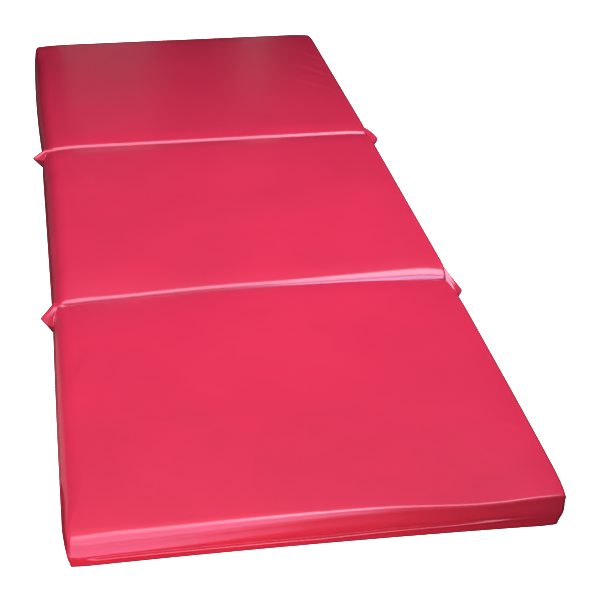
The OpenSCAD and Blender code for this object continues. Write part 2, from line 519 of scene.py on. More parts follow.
@dataclass
class PadPanel:
    """One padded panel: a foam block in its stretched vinyl cover, as one crowned closed form.

    Corners are named by their end and then their side, and the ends of edges by the edge first.
    A flare has its growth and the share of the half edge where it starts. Mesh levels are offsets
    from the seam's line, or from a plain level where there is no seam.
    """

    name: str
    body: str
    end_walls: dict[Side, tuple[str, ...]]
    finish: Material
    edge_radius: dict[Side, float]
    roll_drop: dict[Side, float]
    edge_flare: dict[Corner, Point]
    corner_shift: dict[Corner, Point]
    creases: list[Wrinkle | Dip]
    bows: dict[Side, float] = field(default_factory=dict)
    corner_tuck: dict[Corner, float] = field(default_factory=dict)
    seam: SeamLine | None = None
    seam_wrap: int = 4
    plain_drop: float = 2.4 * MM
    plain_level: float = 8 * MM
    levels: tuple[float, ...] = mm(2.8, 1.6, 0.9, 0.4, 0.0, -0.5, -1.1, -1.9, -2.8)
    wall_shares: tuple[float, ...] = (0.2, 0.4, 0.6, 0.8)
    flare_reach: float = 80 * MM
    corner_zone: float = 36 * MM
    squareness: float = 0.81
    base_radius: float = 4 * MM
    wall_bulge: float = 2 * MM
    roll_off: float = 45 * MM
    mesh_step: float = 6.5 * MM
    corner_lines: int = 8
    edge_lines: int = 9
    base_lines: int = 5
    ripple: float = 0.2 * MM
    ripple_scale: float = 9.0
    fine_scale: float = 23.0
    fine_share: float = 0.5
    fine_layer: float = 5.0
    bow_depth: float = 110 * MM
    tuck_depth: float = 70 * MM
    fill: float = 0.85

    def __post_init__(self) -> None:
        """Reads the panel's extents from the frame and works out its insets."""
        sides = {side: (f"{self.name}_{side.name.lower()}_wall",) for side in AXES[0]}
        self.walls = sides | self.end_walls
        left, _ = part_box(self.walls[Side.LEFT][0])
        _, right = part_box(self.walls[Side.RIGHT][0])
        front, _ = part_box(self.walls[Side.FRONT][0])
        _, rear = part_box(self.walls[Side.REAR][0])
        _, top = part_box(f"{self.name}_top_sheet")
        self.half = np.array([right[0] - left[0], rear[1] - front[1]]) / 2
        self.middle = np.array([right[0] + left[0], rear[1] + front[1]]) / 2
        self.height = top[2]
        self.drop = {side: self.roll_drop.get(side, self.plain_drop) for side in Side}
        self.lean = {side: math.atan(2 * drop / self.roll_off) for side, drop in self.drop.items()}
        self.base_inset = {side: self.wall_bulge + self.base_radius for side in Side}
        self.top_inset = {
            side: self.wall_bulge + self.edge_radius[side] * (1 - math.sin(self.lean[side]))
            for side in Side
        }

    def lines(self, axis: int, insets: dict[Side, float]) -> Array:
        """Places of the mesh lines along one axis, closer together at the corners.

        Args:
            axis: 0 for X and 1 for Y.
            insets: How far in from the widest outline the lines end on each side.

        Returns:
            Places from the middle, lowest first.
        """
        low, high = AXES[axis]
        inner = self.half[axis] - self.corner_zone
        count = round(2 * inner / self.mesh_step)
        steps = np.arange(1, self.corner_lines + 1) / self.corner_lines
        before = -inner - (self.corner_zone - insets[low]) * steps[::-1]
        after = inner + (self.corner_zone - insets[high]) * steps
        return np.concatenate([before, np.linspace(-inner, inner, count + 1), after])

    def grid(self, insets: dict[Side, float]) -> tuple[Array, Array]:
        """Plan grid of the panel with rounded corners, drawn in by an inset on each side.

        Args:
            insets: How far in from the widest outline the grid ends on each side.

        Returns:
            Places from the panel's middle along X and along Y, as two-dimensional arrays.
        """
        flat = np.meshgrid(self.lines(0, insets), self.lines(1, insets), indexing="ij")
        shares, spans = [], []
        for axis, (low, high) in enumerate(AXES):
            span = self.corner_zone - np.where(flat[axis] < 0, insets[low], insets[high])
            inner = self.half[axis] - self.corner_zone
            shares.append(np.clip((np.abs(flat[axis]) - inner) / span, 0, 1))
            spans.append(span)
        placed = []
        for axis in (0, 1):
            own, other = shares[axis], shares[1 - axis]
            bend = own * (self.squareness + (1 - self.squareness) * np.sqrt(1 - other**2 / 2))
            inner = np.minimum(np.abs(flat[axis]), self.half[axis] - self.corner_zone)
            placed.append(np.sign(flat[axis]) * (inner + spans[axis] * bend))
        return placed[0], placed[1]

    @staticmethod
    def border(columns: int, rows: int) -> Array:
        """Numbers of a grid's border points, anticlockwise from above.

        Args:
            columns: Grid points along X.
            rows: Grid points along Y.

        Returns:
            Point numbers, where a point's number is column times rows plus row.
        """
        front = [i * rows for i in range(columns - 1)]
        right = [(columns - 1) * rows + j for j in range(rows - 1)]
        rear = [i * rows + rows - 1 for i in range(columns - 1, 0, -1)]
        left = list(range(rows - 1, 0, -1))
        return np.array(front + right + rear + left)

    def near_edge(self, side: Side, plan: list[Array], reach: float) -> Array:
        """Share at places in plan: 1 at the top grid's edge on a side, falling to 0 a reach in."""
        away = self.half[side.axis] - self.top_inset[side] - side.sign * plan[side.axis]
        return np.clip(1 - away / reach, 0, 1)

    def top_height(self, x: Array, y: Array) -> Array:
        """Height of the top sheet: crowned, rolling off towards the edges, with its creases.

        Args:
            x: Places from the panel's middle along X.
            y: Places from the panel's middle along Y.

        Returns:
            Height above the floor.
        """
        drop = np.zeros_like(x)
        for side in Side:
            drop += self.drop[side] * self.near_edge(side, [x, y], self.roll_off) ** 2
        height = self.height - drop
        place_x, place_y = x + self.middle[0], y + self.middle[1]
        for crease in self.creases:
            height = height + crease.height(place_x, place_y)
        broad, fine = self.ripple_scale, self.fine_scale
        wave = [
            noise.noise(Vector((broad * px, broad * py, 0)))
            + self.fine_share * noise.noise(Vector((fine * px, fine * py, self.fine_layer)))
            for px, py in zip(place_x.ravel(), place_y.ravel())
        ]
        return height + self.ripple * np.array(wave).reshape(height.shape) - self.ripple

    def flare(self, edge: Side, place: Array) -> Array:
        """Extra radius of a top edge, which grows softer or sharper towards one of its ends.

        Args:
            edge: The edge.
            place: Places from the panel's middle along the edge.

        Returns:
            Extra radius at each place.
        """
        extra = np.zeros_like(place)
        for (side, end), (growth, start) in self.edge_flare.items():
            if side is edge:
                share = end.sign * place / self.half[end.axis]
                extra += growth * smooth((share - start) / (1 - start))
        return extra

    def warp(self, points: Array) -> Array:
        """Bows the sides in plan, shifts their ends and tucks corners in towards the floor.

        Args:
            points: Points from the panel's middle in plan, with their heights.

        Returns:
            The warped points.
        """
        out = points.copy()
        for side, bow in self.bows.items():
            axis, sign = side.axis, side.sign
            depth = (self.half[axis] - sign * points[:, axis]) / self.bow_depth
            share = 1 - (points[:, 1 - axis] / self.half[1 - axis]) ** 2
            out[:, axis] += sign * bow * np.clip(share, 0, 1) * np.clip(1 - depth, 0, 1) ** 2
        share_x, share_y = ((points[:, axis] / self.half[axis] + 1) / 2 for axis in (0, 1))
        for (end, side), (across, along) in self.corner_shift.items():
            weight = share_x if side is Side.RIGHT else 1 - share_x
            weight = weight * (share_y if end is Side.REAR else 1 - share_y)
            out[:, 0] += side.sign * across * weight
            out[:, 1] += end.sign * along * weight
        fall = np.clip(1 - points[:, 2] / self.height, 0, 1)
        for (end, side), tuck in self.corner_tuck.items():
            away_y = (self.half[1] - end.sign * points[:, 1]) / self.tuck_depth
            away_x = (self.half[0] - side.sign * points[:, 0]) / self.tuck_depth
            weight = smooth(1 - away_y) * smooth(1 - away_x) * fall
            out[:, 0] -= side.sign * tuck * weight
        return out

    @staticmethod
    def per_side(shape: Array, values: dict[Side, float | Array]) -> Array:
        """Picks a value for each border point from its side along X and its side along Y.

        Args:
            shape: Share of the corner zone that each border point reaches along X and Y.
            values: Value on each side, or one for each border point there.

        Returns:
            Values along X and along Y.
        """
        picked = []
        for part, (low, high) in zip(shape.T, AXES):
            picked.append(np.where(part < 0, values[low], values[high]))
        return np.column_stack(picked)

    def wall_rows(self, edge: Array, shape: Array, border: Array) -> list[tuple[Array, Array]]:
        """Rows down the wall, as the inset along X and Y and the height of each border point.

        Args:
            edge: Height of the top sheet at each border point.
            shape: Share of the corner zone that each border point reaches along X and Y.
            border: Place of each border point in plan.

        Returns:
            Inset and height arrays, from below the top grid's border to above the base grid's.
        """
        flared = {
            side: self.edge_radius[side] + self.flare(side, border[:, 1 - side.axis])
            for side in Side
        }
        radius, lean = self.per_side(shape, flared), self.per_side(shape, self.lean)
        weight = shape**2 / (shape**2).sum(axis=1)[:, None]
        rows: list[tuple[Array, Array]] = []
        for share in np.linspace(0, 1, self.edge_lines)[1:]:
            angle = lean + (math.pi / 2 - lean) * share
            inset = self.wall_bulge + radius * (1 - np.sin(angle))
            fall = (weight * radius * (np.cos(lean) - np.cos(angle))).sum(axis=1)
            rows.append((inset, edge - fall))
        top = rows[-1][1]
        seam, formed = self.seam_course(shape, border[:, 0])
        line = self.seam or SeamLine()
        highest, lowest = seam + self.levels[0], seam + self.levels[-1]
        heights = [top + (highest - top) * share for share in self.wall_shares]
        heights += [seam + level for level in self.levels]
        heights.append((lowest + self.base_radius) / 2)
        heights.append(np.full_like(edge, self.base_radius))
        for z in heights:
            share = (z - self.base_radius) / (top - self.base_radius)
            inset = self.bulge_inset(share) + formed * line.relief(z - seam)
            rows.append((np.column_stack([inset, inset]), z))
        for angle in np.linspace(0, math.pi / 2, self.base_lines)[1:-1]:
            inset = self.wall_bulge + self.base_radius * (1 - math.cos(angle))
            z = np.full_like(edge, self.base_radius * (1 - math.sin(angle)))
            rows.append((np.full_like(shape, inset), z))
        return rows

    def seam_course(self, shape: Array, x: Array) -> tuple[Array, Array]:
        """Course of the closing seam past the border points.

        Args:
            shape: Share of the corner zone that each border point reaches along X and Y.
            x: Place of each border point along X.

        Returns:
            Height of the seam, and how far it is formed, which is 0 off the front wall.
        """
        if self.seam is None:
            return np.full_like(x, self.plain_level), np.zeros_like(x)
        front = np.clip(-shape[:, 1], 0, 1) ** self.seam_wrap
        return self.seam.height(x, self.half[0]), front * self.seam.strength(x, self.half[0])

    def bulge_inset(self, share: Array) -> Array:
        """How far in the wall lies, at a share of its height from 0 at its foot to 1 at its top."""
        return self.wall_bulge * np.cos(math.pi * share) ** 2

    def side_inset(self, z: float, side: Side, end: Side) -> float:
        """How far in from its widest place a side wall lies at a height, over its top edge too.

        Args:
            z: Height above the floor.
            side: The left or the right side.
            end: The front or the rear end of that side.

        Returns:
            Inset of the wall.
        """
        radius = self.edge_radius[side] + float(self.flare(side, end.sign * self.half[1:])[0])
        over = np.clip(z - (self.height - self.drop[side] - radius), 0, radius)
        return float(radius - math.sqrt(radius**2 - over**2))

    def sag(self, x: float, y: float) -> float:
        """How far the creases and dips raise the top sheet at one place, negative where it sags."""
        place = np.array([x]), np.array([y])
        return float(sum(crease.height(*place)[0] for crease in self.creases))

    def side_reach(self, end: Side, side: Side) -> float:
        """How far from the mat's middle a side wall lies along X at one end of the panel."""
        return float(self.half[0]) + self.corner_shift.get((end, side), (0.0, 0.0))[0]

    def build(self) -> Object:
        """Builds the pad's mesh.

        Returns:
            The pad, in place.
        """
        wide = self.grid({side: 0.0 for side in Side})
        top = list(self.grid(self.top_inset))
        base_x, base_y = self.grid(self.base_inset)
        columns, rows = base_x.shape
        ring = self.border(columns, rows)
        border = np.column_stack([part.ravel()[ring] for part in wide])
        inner = self.half - self.corner_zone
        shape = np.sign(border) * np.clip((np.abs(border) - inner) / self.corner_zone, 0, 1)
        top_z = self.top_height(*top).ravel()
        for edge in Side:
            drawn = self.flare(edge, top[1 - edge.axis]) * (1 - math.sin(self.lean[edge]))
            fade = self.near_edge(edge, top, self.flare_reach)
            top[edge.axis] = top[edge.axis] - edge.sign * drawn * fade
        layers = [np.column_stack([top[0].ravel(), top[1].ravel(), top_z])]
        for inset, z in self.wall_rows(top_z[ring], shape, border):
            layers.append(np.column_stack([border - shape * inset, z]))
        layers.append(np.column_stack([base_x.ravel(), base_y.ravel(), np.zeros(base_x.size)]))
        points = self.warp(np.vstack(layers))
        points[:, :2] += self.middle
        faces = self.faces(columns, rows, ring, len(layers) - 2)
        return add_mesh(f"{self.name}_pad", points, faces, self.finish)

    @staticmethod
    def faces(columns: int, rows: int, ring: Array, bands: int) -> Faces:
        """Faces of the pad: the top grid, the wall's bands and the base grid.

        Args:
            columns: Grid points along X.
            rows: Grid points along Y.
            ring: Numbers of the grid's border points.
            bands: Rows of wall points between the two grids.

        Returns:
            The faces, all facing outwards.
        """
        size, around = columns * rows, len(ring)
        base = size + bands * around
        faces: Faces = []
        for i in range(columns - 1):
            for j in range(rows - 1):
                a, b = i * rows + j, (i + 1) * rows + j
                faces.append((a, b, b + 1, a + 1))
                faces.append((base + a, base + a + 1, base + b + 1, base + b))
        walls = [size + k * around + np.arange(around) for k in range(bands)]
        loops = [ring, *walls, base + ring]
        for upper, lower in zip(loops, loops[1:]):
            for j in range(around):
                k = (j + 1) % around
                faces.append((int(upper[j]), int(lower[j]), int(lower[k]), int(upper[k])))
        return faces

    def dress(self) -> Object:
        """Builds the pad, ties it to its body and hides the solids that it stands for.

        Returns:
            The finished pad.
        """
        pad = self.build()
        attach(pad, self.body)
        inside = [f"{self.name}_{part}" for part in ("foam", "top_sheet", "base_sheet")]
        wall_nodes = [node for nodes in self.walls.values() for node in nodes]
        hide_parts(*inside, *wall_nodes)
        return pad


@dataclass(frozen=True)
class EarShape:
    """One fabric ear, with places given outwards from the wall, towards the far panel and up.

    The shares set each flank's breadth and its drop below the ridge, from upper end to foot.
    """

    tip: Place
    start: Place
    corner: Place
    foot: Place
    near_flank: float = 13 * MM
    far_flank: float = 16 * MM
    near_shares: tuple[float, ...] = (-0.1, 0.5, 0.85, 1.0, 0.7, 0.35)
    far_shares: tuple[float, ...] = (0.75, 0.85, 1.0, 1.0, 0.7, 0.35)
    near_drop: float = 5 * MM
    far_drop: float = 1.5 * MM
    drop_shares: tuple[float, ...] = (1.0, 0.6, 0.2, 0, 0, 0)
    tuck: float = 1.2 * MM
    shoulder: float = 0.45
    blunt: float = 1.5
    blunt_reach: int = 12
    slit: float = 2.5 * MM
    slit_place: float = 0.7
    slit_width: float = 0.09
    slit_slant: float = 0.7
    slit_fade: float = 0.7
    hollow: float = 0.12

    def path(self, places: list[Array], count: int) -> Array:
        """Runs a softened line through places.

        Args:
            places: Places along the ear from its upper end to its lower end.
            count: Points on the line.

        Returns:
            The line's points.
        """
        table, reach = np.array(places), self.blunt_reach
        at = np.linspace(0, len(table) - 1, count)
        line = np.column_stack([np.interp(at, np.arange(len(table)), part) for part in table.T])
        kernel = np.exp(-((np.arange(-reach, reach + 1) / self.blunt) ** 2) / 2)
        kernel = kernel / kernel.sum()
        longer = np.vstack([line[:1].repeat(reach, 0), line, line[-1:].repeat(reach, 0)])
        return np.column_stack([np.convolve(part, kernel, "valid") for part in longer.T])

    def ridge(self) -> list[Array]:
        """Places along the ear's outer edge.

        Returns:
            Six places, from the crest of the fold over the tip to the wall's foot.
        """
        places = (self.tip, self.start, self.corner, self.foot)
        tip, start, corner, foot = (np.array(place) for place in places)
        shoulder = (1 - self.shoulder) * corner + self.shoulder * tip
        return [start, corner, shoulder, tip, 0.5 * (tip + foot), foot]

    def flank(self, sign: int, inset: Callable[[float], float]) -> list[Array]:
        """Places where one flank of the ear meets a panel.

        Args:
            sign: 1 for the far panel and -1 for the near one.
            inset: Gives how far in from the wall the panel's side lies at a height.

        Returns:
            Six places beside those of the ridge.
        """
        breadth, drop, shares = self.near_flank, self.near_drop, self.near_shares
        if sign > 0:
            breadth, drop, shares = self.far_flank, self.far_drop, self.far_shares
        places = []
        for edge, share, part in zip(self.ridge(), shares, self.drop_shares):
            z = edge[2] - part * drop
            x = min(edge[0], -inset(z) - self.tuck)
            places.append(np.array([x, sign * share * breadth, z]))
        return places


@dataclass
class Fold:
    """One sewn fold between two panels: its two webs, their stitches and an ear at each end."""

    name: str
    near: PadPanel
    far: PadPanel
    vinyl: Material
    thread: Material
    ears: dict[Side, EarShape]
    sheet: float = 0.9 * MM
    arm: float = 7 * MM
    arm_curl: int = 6
    stations: int = 73
    web_points: int = 33
    web_bend: float = 0.9
    pucker: float = 0.3 * MM
    pucker_pitch: float = 9 * MM
    stitch_rise: float = 0.6 * MM
    stitch_bend: float = 20 * MM
    ear_levels: int = 61
    ear_points: int = 24
    ear_inset: float = 6 * MM
    ear_drop: float = 4 * MM
    ear_inside: Point = mm(1, 38)

    def __post_init__(self) -> None:
        """Reads the fold's place and sizes from the frame."""
        low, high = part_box(f"{self.name}_top_web")
        self.y = (low[1] + high[1]) / 2
        self.half_gap = (high[1] - low[1]) / 2
        self.half_length = high[0]
        self.seam_height = low[2]

    def bend(self, piece: Object, near: float, far: float) -> None:
        """Bakes a piece's transform into its mesh; the piece does not bend with the fold.

        Args:
            piece: Piece that crosses the fold.
            near: Not used.
            far: Not used.
        """
        if self.near.body == "middle_panel":
            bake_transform(piece)
        else:
            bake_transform(piece)

    def web(self, part: str, up: int) -> Object:
        """Builds one web: the sheet that dips from wall to wall and is sewn at mid-height.

        Args:
            part: Name of the solid that the web stands for.
            up: 1 for the top sheet's web, -1 for the base sheet's.

        Returns:
            The finished web.
        """
        across = np.linspace(-1, 1, self.web_points)
        curl = self.arm * np.abs(across) ** self.arm_curl
        lower = np.column_stack([across * self.half_gap, curl])
        profile = np.vstack([lower, (lower + [0, self.sheet])[::-1]])
        along = np.linspace(-self.half_length, self.half_length, self.stations)
        rings = np.zeros((len(along), len(profile), 3))
        for ring, x in zip(rings, along):
            wave = self.pucker * (1 + math.sin(x / self.pucker_pitch))
            ring[:, 0] = x
            ring[:, 1] = self.y + profile[:, 0]
            ring[:, 2] = self.seam_height + up * (profile[:, 1] + wave)
        points, faces = loft(rings if up > 0 else rings[::-1])
        piece = add_mesh(f"{self.name}_{part}_vinyl", points, faces, self.vinyl)
        turn = self.half_gap * self.web_bend
        self.bend(piece, turn, turn)
        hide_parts(f"{self.name}_{part}")
        return piece

    def stitches(self) -> Object:
        """Builds the row of stitches that joins the two webs.

        Returns:
            The finished stitches.
        """
        low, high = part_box(f"{self.name}_stitches")
        level = (low[2] + high[2]) / 2 + self.stitch_rise
        middle = np.array([0, (low[1] + high[1]) / 2, level])
        last = high[0] - STITCH_LENGTH
        starts = np.linspace(low[0], last, round((last - low[0]) / STITCH_PITCH) + 1)
        runs = [(middle + [x, 0, 0], middle + [x + STITCH_LENGTH, 0, 0]) for x in starts]
        piece = stitch_mesh(f"{self.name}_thread", runs, self.thread)
        self.bend(piece, self.stitch_bend, self.stitch_bend)
        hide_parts(f"{self.name}_stitches")
        return piece

    def settled(self, shape: EarShape, side: Side) -> EarShape:
        """Lowers an ear's upper end by as much as the far panel's corner sags.

        Args:
            shape: The ear on a level panel.
            side: The side that the ear is on.

        Returns:
            The lowered ear.
        """
        lowered = []
        for place in (shape.start, shape.corner):
            x = side.sign * (self.far.side_reach(Side.FRONT, side) + place[0])
            lowered.append((place[0], place[1], place[2] + self.far.sag(x, self.y + place[1])))
        return replace(shape, start=lowered[0], corner=lowered[1])

    def ear_rings(self, shape: EarShape, side: Side) -> Array:
        """Lays the rings of an ear: up one flank to the ridge, down the other and back inside.

        Args:
            shape: The ear.
            side: The side that the ear is on.

        Returns:
            Array of rings, points and coordinates, from the ear's upper end to its foot.
        """
        meets = ((-1, self.near, Side.REAR), (1, self.far, Side.FRONT))
        reaches = [panel.side_reach(end, side) for _, panel, end in meets]
        flanks = []
        for (sign, panel, end), reach in zip(meets, reaches):
            places = shape.flank(sign, lambda z: panel.side_inset(z, side, end))
            flanks.append(shape.path(places, self.ear_levels) + [reach, 0, 0])
        ridge = shape.path(shape.ridge(), self.ear_levels) + [sum(reaches) / 2, 0, 0]
        swell = np.sin(np.linspace(0, math.pi, self.ear_levels)) ** shape.slit_fade
        shares = np.linspace(0, 1, self.ear_points)
        columns = []
        for flank, pinched in zip(flanks, (True, False)):
            rise = np.abs(ridge[:, 0] - flank[:, 0])
            for t in shares if pinched else shares[::-1][1:]:
                place = flank + (ridge - flank) * t
                place[:, 0] -= shape.hollow * math.sin(math.pi * t) * rise
                if pinched:
                    off = (t - shape.slit_place) / shape.slit_width
                    groove = shape.slit * math.exp(-(off**2)) * swell
                    place[:, 0] -= shape.slit_slant * groove
                    place[:, 2] -= shape.slit_slant * groove
                columns.append(place)
        inner = np.minimum(flanks[0], flanks[1])
        inner[:, 0] -= self.ear_inset
        inner[:, 1] = 0
        level = np.minimum(inner[:, 2], ridge[:, 2]) - self.ear_drop
        inner[:, 2] = np.clip(level, *self.ear_inside)
        rings = np.stack(columns + [inner], axis=1)
        rings[:, :, 1] += self.y
        rings[:, :, 0] *= side.sign
        return rings

    def ear(self, side: Side) -> Object:
        """Builds the ear at one end: the wall's fabric, pinched out in a pleat.

        Args:
            side: The side that the ear is on.

        Returns:
            The finished ear.
        """
        node = f"{self.name}_{side.name.lower()}_ear"
        shape = self.ears[side]
        if side is Side.LEFT:
            shape = self.settled(shape, side)
        rings = self.ear_rings(shape, side)
        points, faces = loft(rings if side is Side.LEFT else rings[::-1])
        piece = add_mesh(f"{node}_vinyl", points, faces, self.vinyl)
        self.bend(piece, shape.near_flank, shape.far_flank)
        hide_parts(node)
        return piece

    def dress(self) -> list[Object]:
        """Builds all the fold's pieces."""
        pieces = [self.web("top_web", 1), self.web("base_web", -1), self.stitches()]
        return pieces + [self.ear(side) for side in AXES[0]]


@dataclass
class ClosingSeam:
    """The stitches that close the cover along the front wall."""

    panel: PadPanel
    line: SeamLine
    thread: Material
    depth: float = 2.2 * MM
    rise: float = 0.7 * MM

    def dress(self) -> Object:
        """Builds the row of stitches in the seam's valley.

        Returns:
            The finished stitches.
        """
        half = self.panel.half[0]
        first, last = -half + self.line.left_margin, half - self.line.right_margin
        count = int((last - first - STITCH_LENGTH) / STITCH_PITCH)
        starts = first + STITCH_PITCH * np.arange(count + 1)
        foot = self.panel.base_radius
        reach = self.panel.height - self.panel.edge_radius[Side.FRONT]
        ends = []
        for x in (starts, starts + STITCH_LENGTH):
            z = self.line.height(x, half) + self.rise
            depth = self.panel.bulge_inset((z - foot) / (reach - foot)) + self.depth
            places = self.panel.warp(np.column_stack([x, depth - self.panel.half[1], z]))
            places[:, :2] += self.panel.middle
            ends.append(places)
        piece = stitch_mesh("closing_thread", list(zip(*ends)), self.thread)
        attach(piece, self.panel.body)
        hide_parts("closing_stitches")
        return piece


@dataclass(frozen=True)
class Softbox:
    """A rectangular soft light: its middle, the point it faces, its width and height and its watts.

    The turn is about the line from the light to the point it faces.
    """

    name: str
    place: Place
    aim: Place
    size: Point
    power: float
    tint: Tint = Tint.WHITE
    shine: Shine = Shine.BOTH
    reach: Reach = Reach.ALL
    turn: float = 0.0

    def hang(self) -> Object:
        """Hangs the light.

        Returns:
            The light, linked to the scene.
        """
        data = bpy.data.lights.new(self.name, "AREA")
        data.shape = "RECTANGLE"
        data.size, data.size_y = self.size
        data.energy = self.power
        data.color = self.tint.value
        light = bpy.data.objects.new(self.name, data)
        light.location = self.place
        light.visible_camera = False
        light.visible_diffuse, light.visible_glossy = self.shine.value
        facing = (Vector(self.aim) - Vector(self.place)).to_track_quat("-Z", "Y").to_matrix()
        light.rotation_euler = (facing @ Matrix.Rotation(self.turn, 3, "Z")).to_euler()
        bpy.context.scene.collection.objects.link(light)
        return light


@dataclass
class Studio:
    """The plain studio: a pale floor, a white backdrop, soft lights and the photograph's camera."""

    camera_place: Place = (-0.2908, -2.4156, 1.1162)
    yaw: float = 0.1700
    pitch: float = 0.4730
    roll: float = 0.0096
    lens: float = 95.90
    sensor: float = 36.0
    floor_half: float = 12.0
    backdrop: float = 1.0
    ambient: float = 0.1
    ambient_colour: Colour = (0.9, 0.92, 1.0)
    floor_card_corner: Place = (-0.36, -1.06, 0.004)
    floor_card_lengths: tuple[float, ...] = (0.2, 0.26, 0.32, 0.47)
    floor_card_slant: float = 0.16
    floor_card_power: float = 0.68
    card_width: float = 0.3
    hung: dict[Reach, list[Object]] = field(default_factory=dict)

    def camera(self) -> None:
        """Places the camera and makes it the scene's."""
        cy, sy = math.cos(self.yaw), math.sin(self.yaw)
        cp, sp = math.cos(self.pitch), math.sin(self.pitch)
        forward = Vector((sy * cp, cy * cp, -sp))
        right = Vector((cy, -sy, 0))
        up = right.cross(forward)
        cr, sr = math.cos(self.roll), math.sin(self.roll)
        turned = Matrix((cr * right + sr * up, cr * up - sr * right, -forward)).transposed()
        data = bpy.data.cameras.new("camera")
        data.lens = self.lens
        data.sensor_width = self.sensor
        camera = bpy.data.objects.new("camera", data)
        camera.matrix_world = Matrix.Translation(self.camera_place) @ turned.to_4x4()
        bpy.context.scene.collection.objects.link(camera)
        bpy.context.scene.camera = camera

    def floor(self) -> None:
        """Lays the pale floor."""
        h = self.floor_half
        points = np.array([(-h, -h, 0), (h, -h, 0), (h, h, 0), (-h, h, 0)])
        floor = add_mesh("floor", points, [(0, 1, 2, 3)], FloorFinish("studio_floor").build())
        floor.is_shadow_catcher = True
        floor.visible_glossy = False

    @staticmethod
    def high_lights() -> list[Softbox]:
        """Describes the lights above the mat and before it.

        Returns:
            The light overhead, those for the folds' crests, and those for the front wall.
        """
        shading, reflection = Shine.SHADING, Shine.REFLECTION
        cool, warm, wall = (Tint.COOL, shading), (Tint.WARM, shading), (Tint.VIOLET, reflection)
        crest, edge = ((Tint.COOL, reflection, reach) for reach in (Reach.ALL_BUT, Reach.ONLY))
        low_crest = (Tint.BLUE, reflection, Reach.ALL_BUT)
        boxes = [
            Softbox("overhead", (0.04, -0.24, 1.2), (0.04, -0.24, 0), (1.5, 1.63), 30, *cool),
            Softbox("crest_left", (-0.7, 0.075, 3.2), (-0.7, 0.075, 0), (2.6, 2.55), 97, *crest),
            Softbox("crest_right", (1.8, 0.075, 3.2), (1.8, 0.075, 0), (2.4, 2.55), 153, *crest),
            Softbox("crest_low", (0.8, -1.6, 1.9), (0.2, -0.3, 0), (0.8, 0.8), 17, *low_crest),
            Softbox("front_key", (-0.17, -1.2, 0.1), (-0.17, -0.9, 0.03), (0.6, 0.18), 1.75, *warm),
            Softbox("front_wall", (-0.25, -1.9, 0.75), (-0.25, -0.9, 0.75), (0.96, 1.4), 11.4, *wall),
        ]
        for x, width, power in ((-0.28, 0.45, 5.0), (0.15, 0.4, 8.5), (0.6, 0.5, 4.5)):
            place, aim = (x, -1.345, 1.267), (x, -0.9, 0.03)
            boxes.append(Softbox("edge_strip", place, aim, (width, 0.7), power, *edge))
        return boxes

    def low_lights(self) -> list[Softbox]:
        """Describes the cards on the floor and the lights beside the mat and behind it.

        Returns:
            The cards, fills and strips.
        """
        shading, reflection = Shine.SHADING, Shine.REFLECTION
        violet, rosy = (Tint.VIOLET, reflection), (Tint.ROSY, reflection)
        white, cool, bright = (Tint.WHITE, shading), (Tint.COOL, shading), (Tint.COOL, reflection)
        boxes = []
        left, front, level = self.floor_card_corner
        for length in self.floor_card_lengths:
            place = (left + length / 2, front - self.floor_card_slant * length / 2, level)
            size, power = (length, self.card_width), self.floor_card_power * length
            card = Softbox("floor_card", place, (*place[:2], 1), size, power, *violet)
            boxes.append(replace(card, turn=self.floor_card_slant))
        for y, length, power in ((-0.51, 0.42, 0.17), (0.35, 1.3, 0.15)):
            place, size = (-0.46, y, 0.003), (self.card_width, length)
            boxes.append(Softbox("side_card", place, (*place[:2], 1), size, power, *rosy))
        return boxes + [
            Softbox("left_fill", (-0.95, -0.7, 0.15), (-0.3, -0.7, 0.03), (0.5, 0.2), 2.6, *white),
            Softbox("ear_light", (-1.2, -0.35, 0.55), (-0.3, -0.3, 0.03), (0.35, 0.35), 2.0, *bright),
            Softbox("right_fill", (0.95, 0.0, 0.12), (0.3, 0.0, 0.03), (1.0, 0.15), 3.0, *cool),
            Softbox("left_strip", (-0.05, 3.6, 0.75), (-0.1, 0.9, 0), (0.40, 0.7), 0.15),
            Softbox("right_strip", (0.55, 3.6, 0.75), (0.15, 0.9, 0), (0.12, 0.7), 0.06),
        ]

    def lights(self) -> None:
        """Hangs the studio's lights, and keeps them sorted by what they reach."""
        for box in self.high_lights() + self.low_lights():
            self.hung.setdefault(box.reach, []).append(box.hang())

    def limit(self, piece: Object) -> None:
        """Limits some lights to one piece and keeps others off it.

        Args:
            piece: The one piece.
        """
        for reach in (Reach.ALL_BUT, Reach.ONLY):
            linked = bpy.data.collections.new(f"{reach.name.lower()}_{piece.name}")
            linked.objects.link(piece)
            linked.collection_objects[0].light_linking.link_state = reach.value
            for light in self.hung[reach]:
                light.light_linking.receiver_collection = linked

    def world(self) -> None:
        """Sets the white backdrop, which gives only a little light of its own."""
        world = bpy.data.worlds.new("studio")
        world.use_nodes = True
        nodes = Nodes(world.node_tree)
        seen = nodes.add("Background", Color=(1, 1, 1, 1), Strength=self.backdrop)
        fill = nodes.add("Background", Color=(*self.ambient_colour, 1), Strength=self.ambient)
        direct = nodes.add("LightPath").outputs["Is Camera Ray"]
        surface = nodes.mix(direct, fill.outputs["Background"], seen.outputs["Background"])
        nodes.add("OutputWorld", Surface=surface)
        world.cycles_visibility.glossy = False
        bpy.context.scene.world = world
        bpy.context.scene.view_settings.view_transform = "Standard"

    def build(self) -> None:
        """Builds the whole studio."""
        self.camera()
        self.floor()
        self.lights()
        self.world()


def on_sides(left: float, right: float, front: float, rear: float) -> dict[Side, float]:
    """Gives each side of a panel its size, which is in millimetres."""
    return dict(zip(Side, mm(left, right, front, rear)))


